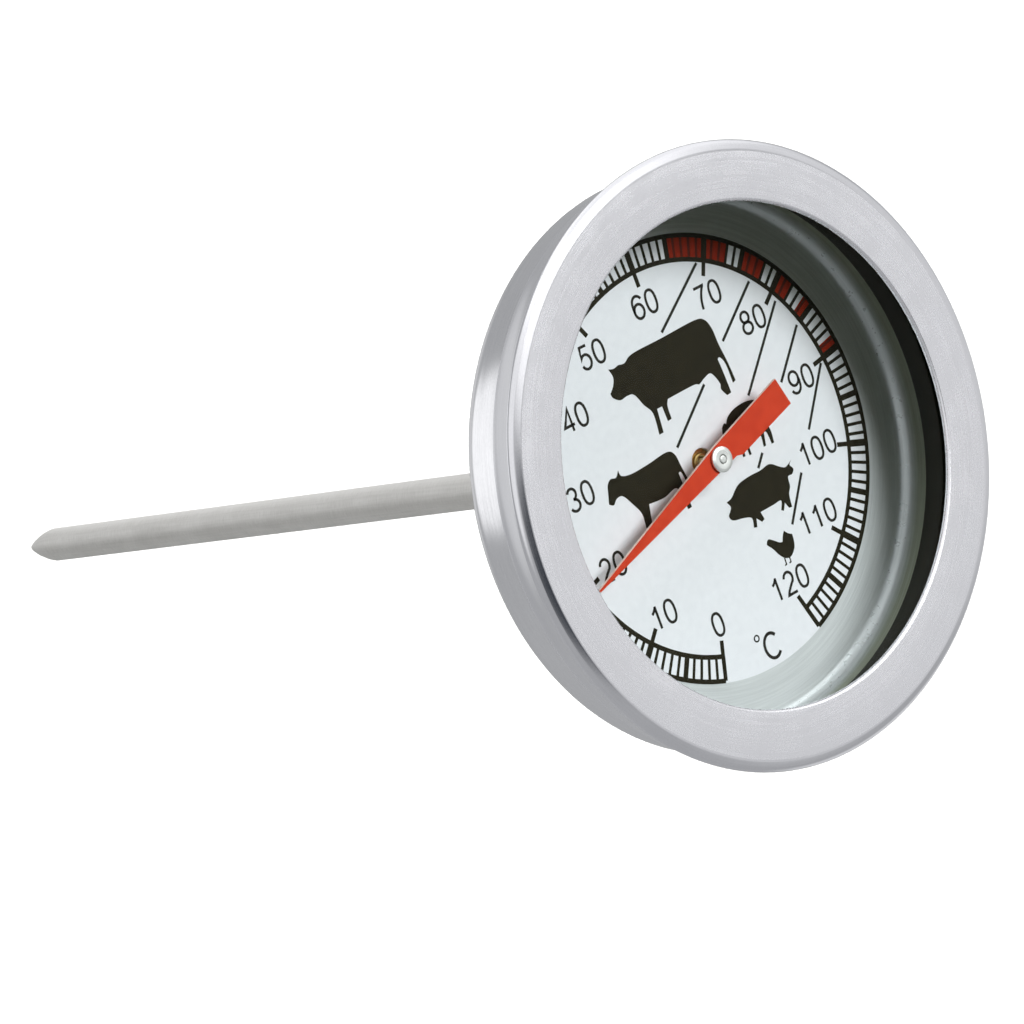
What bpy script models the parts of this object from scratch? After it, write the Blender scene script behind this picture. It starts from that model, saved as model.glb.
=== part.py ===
"""Dial meat thermometer with a bimetal stem.

Frame: metres, +Z up towards the middle of the scale, +X to the right of the dial,
and the dial faces -Y, so the stem runs along +Y. The origin is on the stem's axis,
midway between the bezel's front face and the tip of the stem.

Depths are written as heights in front of the dial's floor, in millimetres:
positive towards the reader, negative towards the tip of the stem.
"""
import math

import bmesh
import bpy
from mathutils import Vector

MM = 0.001

# Overall
HEAD_R = 26.0
BEZEL_FACE = 7.5
TIP = -103.7
MID_HEIGHT = (BEZEL_FACE + TIP) / 2.0

# Bezel
BEZEL_SHEET = 0.5
APERTURE_R = 20.87
LIP_ROUND = 0.25
BEZEL_FACE_R = 24.95
BEZEL_RIM = 7.0
EDGE_ROUND = 0.3
COVE_TOP = 6.9
COVE_FOOT = 3.8
COVE_FOOT_R = 24.95
COVE_SAG = 0.22
BEZEL_REAR = 3.65
BEZEL_HOOK_R = 24.35
BEZEL_HOOK_SHEET = 0.32

# Case cup
CASE_SHEET = 0.5
CASE_BACK = -1.9
CASE_R = 24.25
CASE_SHOULDER_R = 2.5
CASE_BULGE_R = 24.5
CASE_BULGE = 2.1
CASE_NECK_R = 24.2
CASE_FLANGE_R = 24.55
CASE_NECK = 3.4
CASE_RIM = 4.4
CASE_FLANGE_SHEET = 0.3
CASE_HOLE_R = 2.5
RECESS_R = 4.8
RECESS_DEPTH = 0.15

# Dial pan
PAN_SHEET = 0.3
PAN_WALL_R = 22.9
PAN_CORNER_R = 1.2
PAN_RIM = 2.65
PAN_FLANGE_R = 23.5
PAN_HOLE_R = 1.15

# Glass and its gasket
GLASS_R = 24.1
GLASS_BACK = 4.95
GLASS_FRONT = 6.85
GLASS_CHAMFER = 0.15
GASKET_LIP_R = 22.6
GASKET_BACK = 2.71
GASKET_OUTER_R = 24.6
GASKET_FRONT = 6.9
GASKET_SLACK = 0.1

# Stem
STEM_R = 1.62
STEM_BORE_R = 1.27
STEM_MOUTH = -0.9
NOSE_LENGTH = 4.75
NOSE_TAPER = 1.3
NOSE_FULLNESS = 0.8
NOSE_SEAM = 0.05
PLUG_R = 1.2
PLUG_LENGTH = 0.55

# Collar at the stem's root, with its seal and washer
COLLAR_R = 3.3
COLLAR_NECK_R = 2.4
COLLAR_RIVET_R = 3.0
COLLAR_SHANK_R = 2.3
COLLAR_BORE_R = STEM_R + 0.05
COLLAR_FACE = -0.4
RIVET_EDGE = 0.15
RIVET_BACK = -0.95
COLLAR_SHOULDER = CASE_BACK - 0.35
COLLAR_STEP = -3.6
COLLAR_STEP_SLOPE = 0.1
COLLAR_BACK = -5.8
COLLAR_EDGE = 0.3
SEAL_R = 3.2
SEAL_FRONT = -1.8
SEAL_BACK = -2.2
WASHER_R = 4.4
WASHER_FRONT = -1.0
WASHER_BACK = -1.35

# Bearings in the stem
BEARING_NOSE = -0.05
BEARING_NOSE_R = 0.8
BEARING_FLANGE = -0.4
BEARING_BACK = -3.6
GUIDE_FRONT_BUSH = -28.0
GUIDE_REAR_BUSH = -60.0
GUIDE_LENGTH = 2.0

# Spindle and what rides on it
SPINDLE_R = 0.35
SPINDLE_FRONT = 2.68
SPINDLE_BACK = -66.5
SPINDLE_CHAMFER = 0.08
RUNNING_BORE_R = 0.40
THRUST_R = 0.9
THRUST_FRONT = -3.9
THRUST_BACK = -4.5
BUSH_FRONT = 2.32
BUSH_SEAT = 1.95
BUSH_SHOULDER = 1.5
BUSH_BACK = 1.0
BUSH_NECK_R = 0.6
BUSH_R = 1.0
BUSH_BODY_R = 0.7
POINTER_PLANE = 2.0
POINTER_SHEET = 0.3
BLADE_REACH = 17.3
TAIL_REACH = 9.25
TAIL_HALF_WIDTH = 1.3
HUB_HALF_WIDTH = 1.2
NOTCHED_HALF_WIDTH = 0.87
NOTCH_START = -1.6
NOTCH_END = -2.2
TIP_HALF_WIDTH = 0.09
POINTER_HOLE_R = 0.65
HUB_CAP_R = 1.1
HUB_CAP_CROWN = 0.27
HUB_CAP_EDGE = 0.15
HUB_CAP_BASE = POINTER_PLANE + POINTER_SHEET + 0.05

# Coupler between the spindle and the coil
COUPLER_FLOOR = SPINDLE_BACK - 0.1
COUPLER_SOCKET = 2.4
COUPLER_BODY_R = 0.75
COUPLER_FLANGE_R = 1.05
COUPLER_FLANGE = 0.2
COUPLER_BASE = 0.7

# Bimetal coil
COIL_TOP = -67.6
COIL_PITCH = 1.48
COIL_TURNS = 19
COIL_OUTER_R = 0.94
COIL_INNER_R = 0.76
COIL_STRIP = 0.9
ANCHOR_FACE = COIL_TOP - COIL_TURNS * COIL_PITCH - COIL_STRIP - 0.2
ANCHOR_PEG_R = 0.5
ANCHOR_PEG = 1.4
ANCHOR_SHEET = 0.7

# Scale, which sets where the pointer stands at rest
DEGREES_PER_CELSIUS = 2.7
MID_CELSIUS = 60.0
REST_CELSIUS = 20.7
REST_ANGLE = math.radians(90.0 - (REST_CELSIUS - MID_CELSIUS) * DEGREES_PER_CELSIUS)

# Facets
HEAD_SEGMENTS = 60
STEM_SEGMENTS = 28
PIN_SEGMENTS = 20
COIL_STEPS_PER_TURN = 12
ARC_STEPS = 4
NOSE_STEPS = 9
SHARP_ANGLE = math.radians(32.0)
AXIS_MERGE = 1e-7


def clear_scene():
    """Remove every object that the scene already holds."""
    for item in list(bpy.data.objects):
        bpy.data.objects.remove(item)


def place(radius, height):
    """Point at a radius along +X and a height in front of the dial, in metres."""
    return Vector((radius * MM, (MID_HEIGHT - height) * MM, 0.0))


def arc(centre_r, centre_h, radius, start, end, steps=ARC_STEPS, rise=None):
    """Profile points on a circle, or on an oval where a rise is given.

    Angles are in degrees from outwards towards the front.
    """
    rise = rise or radius
    points = []
    for step in range(steps + 1):
        angle = math.radians(start + (end - start) * step / steps)
        points.append((centre_r + radius * math.cos(angle), centre_h + rise * math.sin(angle)))
    return points


def cove(start, end, sag, steps=ARC_STEPS):
    """Profile points from start to end, bowed by sag towards the axis."""
    points = []
    for step in range(steps + 1):
        share = step / steps
        bow = 4.0 * sag * share * (1.0 - share)
        radius = start[0] + (end[0] - start[0]) * share - bow
        points.append((radius, start[1] + (end[1] - start[1]) * share))
    return points


def make_material(name, colour, metallic, roughness, alpha=1.0):
    """Principled material with one colour."""
    material = bpy.data.materials.new(name)
    material.use_nodes = True
    shader = material.node_tree.nodes["Principled BSDF"]
    shader.inputs["Base Color"].default_value = (*colour, 1.0)
    shader.inputs["Metallic"].default_value = metallic
    shader.inputs["Roughness"].default_value = roughness
    shader.inputs["Alpha"].default_value = alpha
    material.diffuse_color = (*colour, alpha)
    return material


def add_object(name, mesh_data, material, parent, pivot=None):
    """Turn a bmesh into a named object, with its origin on pivot when one is given."""
    bmesh.ops.recalc_face_normals(mesh_data, faces=mesh_data.faces)
    pivot = pivot or Vector((0.0, 0.0, 0.0))
    bmesh.ops.translate(mesh_data, verts=mesh_data.verts, vec=-pivot)
    mesh = bpy.data.meshes.new(name)
    mesh_data.to_mesh(mesh)
    mesh_data.free()
    mesh.materials.append(material)
    mesh.shade_smooth()
    mesh.set_sharp_from_angle(angle=SHARP_ANGLE)
    item = bpy.data.objects.new(name, mesh)
    bpy.context.collection.objects.link(item)
    item.parent = parent
    item.location = pivot
    return item


def turn(profile, segments, closed):
    """Spin a profile of (radius, height) points about the stem's axis."""
    mesh_data = bmesh.new()
    points = [mesh_data.verts.new(place(radius, height)) for radius, height in profile]
    edges = [mesh_data.edges.new(pair) for pair in zip(points, points[1:])]
    if closed:
        edges.append(mesh_data.edges.new((points[-1], points[0])))
    bmesh.ops.spin(
        mesh_data,
        geom=points + edges,
        cent=(0.0, 0.0, 0.0),
        axis=(0.0, 1.0, 0.0),
        angle=2.0 * math.pi,
        steps=segments,
        use_merge=True,
    )
    bmesh.ops.remove_doubles(mesh_data, verts=mesh_data.verts, dist=AXIS_MERGE)
    return mesh_data


def make_bezel(parent, material):
    """Drawn steel ring: flat face, bevelled edge, coved side, rear edge hooked behind the case."""
    inside = BEZEL_FACE - BEZEL_SHEET
    foot_round = COVE_FOOT - BEZEL_REAR
    inner_foot = (BEZEL_HOOK_R + BEZEL_HOOK_SHEET, BEZEL_REAR + BEZEL_HOOK_SHEET)
    inner_top = (HEAD_R - BEZEL_SHEET, COVE_TOP - BEZEL_SHEET)
    profile = [(APERTURE_R, inside)]
    profile += arc(APERTURE_R + LIP_ROUND, BEZEL_FACE - LIP_ROUND, LIP_ROUND, 180.0, 90.0, 2)
    profile += [(BEZEL_FACE_R, BEZEL_FACE)]
    profile += arc(HEAD_R - EDGE_ROUND, BEZEL_RIM, EDGE_ROUND, 72.0, 0.0)
    profile += cove((HEAD_R, COVE_TOP), (COVE_FOOT_R, COVE_FOOT), COVE_SAG)
    profile += [(COVE_FOOT_R - foot_round, BEZEL_REAR), (BEZEL_HOOK_R, BEZEL_REAR)]
    profile += [(BEZEL_HOOK_R, BEZEL_REAR + BEZEL_HOOK_SHEET)]
    profile += cove(inner_foot, inner_top, COVE_SAG)
    profile += [(BEZEL_FACE_R, inside)]
    return add_object("bezel_ring", turn(profile, HEAD_SEGMENTS, True), material, parent)


def make_glass(parent, material):
    """Flat round glass with chamfered edges."""
    inner_r = GLASS_R - GLASS_CHAMFER
    profile = [
        (0.0, GLASS_BACK),
        (inner_r, GLASS_BACK),
        (GLASS_R, GLASS_BACK + GLASS_CHAMFER),
        (GLASS_R, GLASS_FRONT - GLASS_CHAMFER),
        (inner_r, GLASS_FRONT),
        (0.0, GLASS_FRONT),
    ]
    return add_object("lens_glass", turn(profile, HEAD_SEGMENTS, False), material, parent)


def make_gasket(parent, material):
    """Stepped ring that carries the glass, lines the bezel and presses on the pan's flange."""
    seat = GLASS_BACK - GASKET_SLACK
    foot_r = PAN_FLANGE_R + GASKET_SLACK / 2.0
    shelf = CASE_RIM + GASKET_SLACK
    wall_r = GLASS_R + GASKET_SLACK
    profile = [
        (GASKET_LIP_R, GASKET_BACK),
        (foot_r, GASKET_BACK),
        (foot_r, shelf),
        (GASKET_OUTER_R, shelf),
        (GASKET_OUTER_R, GASKET_FRONT),
        (wall_r, GASKET_FRONT),
        (wall_r, seat),
        (GASKET_LIP_R, seat),
    ]
    return add_object("lens_gasket", turn(profile, HEAD_SEGMENTS, True), material, parent)


def make_pan(parent, material):
    """Pressed dial: flat floor, rounded corner, upright wall and a narrow flange."""
    corner_r = PAN_WALL_R - PAN_CORNER_R
    outer_wall_r = PAN_WALL_R + PAN_SHEET
    flange_back = PAN_RIM - PAN_SHEET
    profile = [(PAN_HOLE_R, 0.0)]
    profile += arc(corner_r, PAN_CORNER_R, PAN_CORNER_R, -90.0, 0.0)
    profile += [(PAN_WALL_R, PAN_RIM), (PAN_FLANGE_R, PAN_RIM)]
    profile += [(PAN_FLANGE_R, flange_back), (outer_wall_r, flange_back)]
    profile += arc(corner_r, PAN_CORNER_R, PAN_CORNER_R + PAN_SHEET, 0.0, -90.0)
    profile += [(PAN_HOLE_R, -PAN_SHEET)]
    return add_object("dial_pan", turn(profile, HEAD_SEGMENTS, True), material, parent)


def make_case(parent, material):
    """Drawn cup: flat back with a shallow recess, rounded shoulder, band, neck and rim."""
    centre_r = CASE_R - CASE_SHOULDER_R
    centre_h = CASE_BACK + CASE_SHOULDER_R
    inside = CASE_BACK + CASE_SHEET
    neck_inner_r = CASE_NECK_R - CASE_SHEET
    bulge_inner_r = CASE_BULGE_R - CASE_SHEET
    recess = CASE_BACK + RECESS_DEPTH
    neck_drop = CASE_BULGE_R - CASE_NECK_R
    flange_back = CASE_RIM - CASE_FLANGE_SHEET
    profile = [(CASE_HOLE_R, recess), (RECESS_R - RECESS_DEPTH, recess), (RECESS_R, CASE_BACK)]
    profile += arc(centre_r, centre_h, CASE_SHOULDER_R, -90.0, 0.0)
    profile += [(CASE_BULGE_R, CASE_BULGE), (CASE_BULGE_R, CASE_NECK - neck_drop)]
    profile += [(CASE_NECK_R, CASE_NECK), (CASE_NECK_R, flange_back)]
    profile += [(CASE_FLANGE_R, flange_back), (CASE_FLANGE_R, CASE_RIM)]
    profile += [(neck_inner_r, CASE_RIM), (neck_inner_r, CASE_NECK - CASE_SHEET / 2.0)]
    profile += [(bulge_inner_r, CASE_BULGE + CASE_SHEET / 2.0)]
    profile += arc(centre_r, centre_h, CASE_SHOULDER_R - CASE_SHEET, 0.0, -90.0)
    profile += [(CASE_HOLE_R, inside)]
    return add_object("case_cup", turn(profile, HEAD_SEGMENTS, True), material, parent)


def make_collar(parent, material):
    """Turned boss at the stem's root, riveted over inside the case."""
    profile = [(COLLAR_BORE_R, COLLAR_FACE), (COLLAR_RIVET_R - RIVET_EDGE, COLLAR_FACE)]
    profile += [(COLLAR_RIVET_R, COLLAR_FACE - RIVET_EDGE), (COLLAR_RIVET_R, RIVET_BACK)]
    profile += [(COLLAR_SHANK_R, RIVET_BACK), (COLLAR_SHANK_R, COLLAR_SHOULDER)]
    profile += [(COLLAR_R, COLLAR_SHOULDER), (COLLAR_R, COLLAR_STEP + COLLAR_EDGE)]
    profile += [(COLLAR_R - COLLAR_EDGE, COLLAR_STEP)]
    profile += [(COLLAR_NECK_R, COLLAR_STEP - COLLAR_STEP_SLOPE)]
    profile += [(COLLAR_NECK_R, COLLAR_BACK + COLLAR_EDGE)]
    profile += [(COLLAR_NECK_R - COLLAR_EDGE, COLLAR_BACK), (COLLAR_BORE_R, COLLAR_BACK)]
    return add_object("stem_collar", turn(profile, STEM_SEGMENTS, True), material, parent)


def make_ring(name, parent, material, inner_r, outer_r, front, back, segments, pivot=None):
    """Plain ring between two heights."""
    profile = [(inner_r, front), (outer_r, front), (outer_r, back), (inner_r, back)]
    return add_object(name, turn(profile, segments, True), material, parent, pivot)


def make_tube(parent, material):
    """Stem tube, open at both ends."""
    tube_end = TIP + NOSE_LENGTH
    return make_ring(
        "stem_tube", parent, material, STEM_BORE_R, STEM_R, STEM_MOUTH, tube_end, STEM_SEGMENTS
    )


def make_tip(parent, material):
    """Solid tapered nose with a short plug that closes the tube."""
    root = TIP + NOSE_LENGTH - NOSE_SEAM
    profile = [(0.0, root + PLUG_LENGTH), (PLUG_R, root + PLUG_LENGTH), (PLUG_R, root)]
    for step in range(NOSE_STEPS):
        share = step / NOSE_STEPS
        radius = STEM_R * (1.0 - share ** NOSE_TAPER) ** NOSE_FULLNESS
        profile.append((radius, root - (root - TIP) * share))
    profile.append((0.0, TIP))
    return add_object("stem_tip", turn(profile, STEM_SEGMENTS, False), material, parent)


def make_bearing(parent, material):
    """Flanged bush in the mouth of the stem, with a short nose towards the dial."""
    flange_back = STEM_MOUTH + NOSE_SEAM
    profile = [
        (RUNNING_BORE_R, BEARING_NOSE),
        (BEARING_NOSE_R, BEARING_NOSE),
        (BEARING_NOSE_R, BEARING_FLANGE),
        (STEM_R, BEARING_FLANGE),
        (STEM_R, flange_back),
        (PLUG_R, flange_back),
        (PLUG_R, BEARING_BACK),
        (RUNNING_BORE_R, BEARING_BACK),
    ]
    return add_object("spindle_bearing", turn(profile, PIN_SEGMENTS, True), material, parent)


def make_anchor(parent, material):
    """Plug that holds the coil's far end, with a peg inside the coil."""
    profile = [
        (0.0, ANCHOR_FACE + ANCHOR_PEG),
        (ANCHOR_PEG_R, ANCHOR_FACE + ANCHOR_PEG),
        (ANCHOR_PEG_R, ANCHOR_FACE),
        (PLUG_R, ANCHOR_FACE),
        (PLUG_R, ANCHOR_FACE - ANCHOR_SHEET),
        (0.0, ANCHOR_FACE - ANCHOR_SHEET),
    ]
    return add_object("coil_anchor", turn(profile, PIN_SEGMENTS, False), material, parent)


def make_coil(parent, material):
    """Helical bimetal strip with a rectangular section."""
    section = [
        (COIL_INNER_R, 0.0),
        (COIL_OUTER_R, 0.0),
        (COIL_OUTER_R, -COIL_STRIP),
        (COIL_INNER_R, -COIL_STRIP),
    ]
    steps = COIL_TURNS * COIL_STEPS_PER_TURN
    mesh_data = bmesh.new()
    rings = []
    for step in range(steps + 1):
        angle = 2.0 * math.pi * step / COIL_STEPS_PER_TURN
        top = COIL_TOP - COIL_PITCH * step / COIL_STEPS_PER_TURN
        ring = []
        for radius, drop in section:
            point = place(radius, top + drop)
            around = Vector((point.x * math.cos(angle), point.y, point.x * math.sin(angle)))
            ring.append(mesh_data.verts.new(around))
        rings.append(ring)
    for near, far in zip(rings, rings[1:]):
        for corner in range(4):
            following = (corner + 1) % 4
            mesh_data.faces.new((near[corner], near[following], far[following], far[corner]))
    mesh_data.faces.new(rings[0])
    mesh_data.faces.new(rings[-1])
    return add_object("bimetal_coil", mesh_data, material, parent)


def make_spindle(parent, material, pivot):
    """Long thin shaft from the coil to the pointer, with chamfered ends."""
    profile = [
        (0.0, SPINDLE_FRONT),
        (SPINDLE_R - SPINDLE_CHAMFER, SPINDLE_FRONT),
        (SPINDLE_R, SPINDLE_FRONT - SPINDLE_CHAMFER),
        (SPINDLE_R, SPINDLE_BACK + SPINDLE_CHAMFER),
        (SPINDLE_R - SPINDLE_CHAMFER, SPINDLE_BACK),
        (0.0, SPINDLE_BACK),
    ]
    return add_object("spindle", turn(profile, PIN_SEGMENTS, False), material, parent, pivot)


def make_coupler(parent, material, pivot):
    """Cup on the spindle's lower end, with a flange that takes the coil's near end."""
    profile = [
        (0.0, COUPLER_FLOOR),
        (RUNNING_BORE_R, COUPLER_FLOOR),
        (RUNNING_BORE_R, COUPLER_FLOOR + COUPLER_SOCKET),
        (COUPLER_BODY_R, COUPLER_FLOOR + COUPLER_SOCKET),
        (COUPLER_BODY_R, COUPLER_FLOOR - COUPLER_FLANGE),
        (COUPLER_FLANGE_R, COUPLER_FLOOR - COUPLER_FLANGE),
        (COUPLER_FLANGE_R, COUPLER_FLOOR - COUPLER_BASE),
        (0.0, COUPLER_FLOOR - COUPLER_BASE),
    ]
    return add_object("coil_coupler", turn(profile, PIN_SEGMENTS, False), material, parent, pivot)


def make_pointer_bush(parent, material, pivot):
    """Stepped bush on the spindle that the pointer sits on."""
    profile = [
        (RUNNING_BORE_R, BUSH_BACK),
        (RUNNING_BORE_R, BUSH_FRONT),
        (BUSH_NECK_R, BUSH_FRONT),
        (BUSH_NECK_R, BUSH_SEAT),
        (BUSH_R, BUSH_SEAT),
        (BUSH_R, BUSH_SHOULDER),
        (BUSH_BODY_R, BUSH_SHOULDER),
        (BUSH_BODY_R, BUSH_BACK),
    ]
    return add_object("pointer_bush", turn(profile, PIN_SEGMENTS, True), material, parent, pivot)


def make_hub_cap(parent, material, pivot):
    """Rounded cap over the pointer, around the spindle's end."""
    top = HUB_CAP_BASE + HUB_CAP_CROWN
    profile = [(RUNNING_BORE_R, HUB_CAP_BASE), (HUB_CAP_R, HUB_CAP_BASE)]
    profile += [(HUB_CAP_R, top - HUB_CAP_EDGE), (HUB_CAP_R - HUB_CAP_EDGE, top)]
    profile += [(RUNNING_BORE_R, top)]
    return add_object("pointer_hub_cap", turn(profile, PIN_SEGMENTS, True), material, parent, pivot)


def make_pointer(parent, material, pivot):
    """Flat hand: tapered blade, hub hole and a blunt tail, with one notch beside the hub."""
    outline = [
        (BLADE_REACH, -TIP_HALF_WIDTH),
        (BLADE_REACH, TIP_HALF_WIDTH),
        (NOTCH_START, NOTCHED_HALF_WIDTH),
        (NOTCH_END, HUB_HALF_WIDTH),
        (-TAIL_REACH, TAIL_HALF_WIDTH),
        (-TAIL_REACH, -TAIL_HALF_WIDTH),
        (0.0, -HUB_HALF_WIDTH),
    ]
    hole = []
    for step in range(PIN_SEGMENTS):
        angle = 2.0 * math.pi * step / PIN_SEGMENTS
        hole.append((POINTER_HOLE_R * math.cos(angle), POINTER_HOLE_R * math.sin(angle)))
    mesh_data = bmesh.new()
    edges = []
    depth = (MID_HEIGHT - POINTER_PLANE) * MM
    for loop in (outline, hole):
        points = []
        for along, across in loop:
            x = along * math.cos(REST_ANGLE) - across * math.sin(REST_ANGLE)
            z = along * math.sin(REST_ANGLE) + across * math.cos(REST_ANGLE)
            points.append(mesh_data.verts.new((x * MM, depth, z * MM)))
        for index, point in enumerate(points):
            edges.append(mesh_data.edges.new((points[index - 1], point)))
    bmesh.ops.triangle_fill(mesh_data, edges=edges, use_beauty=True)
    grown = bmesh.ops.extrude_face_region(mesh_data, geom=list(mesh_data.faces))
    front = [item for item in grown["geom"] if isinstance(item, bmesh.types.BMVert)]
    bmesh.ops.translate(mesh_data, verts=front, vec=(0.0, -POINTER_SHEET * MM, 0.0))
    return add_object("pointer", mesh_data, material, parent, pivot)


def build():
    """Make every piece of the thermometer."""
    clear_scene()
    bezel_steel = make_material("bezel_steel", (0.62, 0.62, 0.64), 1.0, 0.32)
    case_steel = make_material("case_steel", (0.60, 0.60, 0.62), 1.0, 0.28)
    stem_steel = make_material("stem_steel", (0.50, 0.49, 0.47), 1.0, 0.24)
    dial_white = make_material("dial_white", (0.78, 0.79, 0.83), 0.3, 0.45)
    clear_glass = make_material("clear_glass", (0.95, 0.97, 0.96), 0.0, 0.03, 0.35)
    black_rubber = make_material("black_rubber", (0.035, 0.038, 0.032), 0.0, 0.6)
    red_paint = make_material("red_paint", (0.70, 0.07, 0.02), 0.0, 0.4)
    bright_metal = make_material("bright_metal", (0.70, 0.70, 0.68), 1.0, 0.25)
    brass = make_material("brass", (0.62, 0.45, 0.17), 1.0, 0.3)
    spring_strip = make_material("spring_strip", (0.48, 0.45, 0.40), 1.0, 0.35)

    housing = bpy.data.objects.new("housing_frame", None)
    bpy.context.collection.objects.link(housing)
    make_bezel(housing, bezel_steel)
    make_glass(housing, clear_glass)
    make_gasket(housing, black_rubber)
    make_pan(housing, dial_white)
    make_case(housing, case_steel)
    make_ring(
        "collar_seal", housing, black_rubber,
        CASE_HOLE_R, SEAL_R, SEAL_FRONT, SEAL_BACK, STEM_SEGMENTS,
    )
    make_ring(
        "collar_washer", housing, bright_metal,
        CASE_HOLE_R, WASHER_R, WASHER_FRONT, WASHER_BACK, STEM_SEGMENTS,
    )
    make_collar(housing, stem_steel)
    make_tube(housing, stem_steel)
    make_tip(housing, stem_steel)
    make_bearing(housing, brass)
    make_anchor(housing, bright_metal)
    make_coil(housing, spring_strip)
    guides = (("guide_bush_front", GUIDE_FRONT_BUSH), ("guide_bush_rear", GUIDE_REAR_BUSH))
    for name, front in guides:
        back = front - GUIDE_LENGTH
        make_ring(name, housing, brass, RUNNING_BORE_R, PLUG_R, front, back, PIN_SEGMENTS)

    spin_axis = place(0.0, POINTER_PLANE)
    pointer_axis = bpy.data.objects.new("pointer_axis", None)
    bpy.context.collection.objects.link(pointer_axis)
    make_spindle(pointer_axis, bright_metal, spin_axis)
    make_coupler(pointer_axis, bright_metal, spin_axis)
    make_ring(
        "thrust_ring", pointer_axis, brass,
        RUNNING_BORE_R, THRUST_R, THRUST_FRONT, THRUST_BACK, PIN_SEGMENTS, spin_axis,
    )
    make_pointer_bush(pointer_axis, brass, spin_axis)
    make_pointer(pointer_axis, red_paint, spin_axis)
    make_hub_cap(pointer_axis, bright_metal, spin_axis)


build()
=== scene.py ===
"""Finished look of the dial meat thermometer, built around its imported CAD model.

Heights are millimetres in front of the dial's floor, as in the CAD source: positive
towards the reader, negative towards the tip of the stem. Angles on the dial are in
degrees, anticlockwise from +X as the dial is read.
"""
import math

import bmesh
import bpy
from mathutils import Matrix, Vector


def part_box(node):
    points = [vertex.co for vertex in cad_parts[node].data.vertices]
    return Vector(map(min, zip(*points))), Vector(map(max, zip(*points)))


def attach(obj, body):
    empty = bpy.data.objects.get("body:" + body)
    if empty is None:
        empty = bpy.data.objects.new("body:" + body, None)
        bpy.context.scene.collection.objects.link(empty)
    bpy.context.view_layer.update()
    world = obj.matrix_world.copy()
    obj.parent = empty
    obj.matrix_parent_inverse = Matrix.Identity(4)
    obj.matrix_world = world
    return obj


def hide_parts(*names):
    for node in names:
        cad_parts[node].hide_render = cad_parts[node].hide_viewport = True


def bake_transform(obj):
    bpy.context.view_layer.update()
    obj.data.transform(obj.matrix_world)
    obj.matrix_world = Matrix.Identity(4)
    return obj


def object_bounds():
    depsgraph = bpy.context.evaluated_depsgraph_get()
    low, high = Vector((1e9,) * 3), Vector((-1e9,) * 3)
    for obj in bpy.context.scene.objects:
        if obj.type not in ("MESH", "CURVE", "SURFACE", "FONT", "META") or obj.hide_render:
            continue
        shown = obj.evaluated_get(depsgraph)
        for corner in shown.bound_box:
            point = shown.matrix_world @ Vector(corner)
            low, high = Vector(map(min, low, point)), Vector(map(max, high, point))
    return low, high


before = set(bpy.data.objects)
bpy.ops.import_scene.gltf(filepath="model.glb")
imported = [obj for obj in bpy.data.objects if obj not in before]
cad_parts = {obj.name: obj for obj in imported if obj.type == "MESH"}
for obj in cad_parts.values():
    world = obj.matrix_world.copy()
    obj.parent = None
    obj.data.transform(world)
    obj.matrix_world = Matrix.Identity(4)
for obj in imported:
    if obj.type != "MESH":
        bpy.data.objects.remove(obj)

CAD_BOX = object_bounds()
MM = 0.001

# ---------------------------------------------------------------- sizes from the frame


def size_of(node):
    """Lowest and highest corner of a CAD node, in millimetres."""
    low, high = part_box(node)
    return low / MM, high / MM


PAN_SHEET = 0.3
PAN_LOW, PAN_HIGH = size_of("dial_pan")
DIAL_Y = PAN_HIGH.y - PAN_SHEET
BEZEL_LOW, BEZEL_HIGH = size_of("bezel_ring")
CASE_LOW, CASE_HIGH = size_of("case_cup")
GLASS_LOW, GLASS_HIGH = size_of("lens_glass")
GASKET_LOW, GASKET_HIGH = size_of("lens_gasket")
COLLAR_LOW, COLLAR_HIGH = size_of("stem_collar")
TUBE_LOW, TUBE_HIGH = size_of("stem_tube")
TIP_LOW, TIP_HIGH = size_of("stem_tip")
SPINDLE_LOW, SPINDLE_HIGH = size_of("spindle")
BEARING_LOW, BEARING_HIGH = size_of("spindle_bearing")
BUSH_LOW, BUSH_HIGH = size_of("pointer_bush")
POINTER_LOW, POINTER_HIGH = size_of("pointer")
CAP_LOW, CAP_HIGH = size_of("pointer_hub_cap")
COIL_LOW, COIL_HIGH = size_of("bimetal_coil")


def front(low):
    """Height of a node's front, from its lowest corner."""
    return DIAL_Y - low.y


def back(high):
    """Height of a node's back, from its highest corner."""
    return DIAL_Y - high.y


# Bezel
HEAD_R = BEZEL_HIGH.x
BEZEL_FACE = front(BEZEL_LOW)
BEZEL_REAR = back(BEZEL_HIGH)
BEZEL_SHEET = 0.5
APERTURE_R = 20.87
BEZEL_FACE_R = 24.95
BEZEL_RIM = 6.9
EDGE_WIDTH = 0.85
EDGE_RISE = 0.5
LIP_ROUND = 0.28
LIP_SHEET = 0.38
COVE_DEPTH = 0.1
COVE_FOOT = 3.8
COVE_FOOT_R = 24.95
BEZEL_HOOK_R = 24.35
BEZEL_HOOK_SHEET = 0.32

# Case
CASE_BACK = back(CASE_HIGH)
CASE_RIM = front(CASE_LOW)
CASE_SHEET = 0.5
CASE_R = 24.3
CASE_BULGE_R = 24.5
CASE_NECK_R = 24.2
CASE_NECK = 3.4
CASE_NECK_FOOT = 3.3
CASE_BAND_TOP = 3.15
CASE_BAND_BOW = 0.03
CASE_INNER_NECK = 3.2
CASE_INNER_BAND = 2.4
CASE_FLANGE_SLOPE = 0.1
CASE_FLANGE_SHEET = 0.3
CASE_FLANGE_R = CASE_HIGH.x
CASE_SHOULDER_R = 2.5
CASE_HOLE_R = 2.5
RECESS_R = 4.8
RECESS_DEPTH = 0.15

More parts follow.
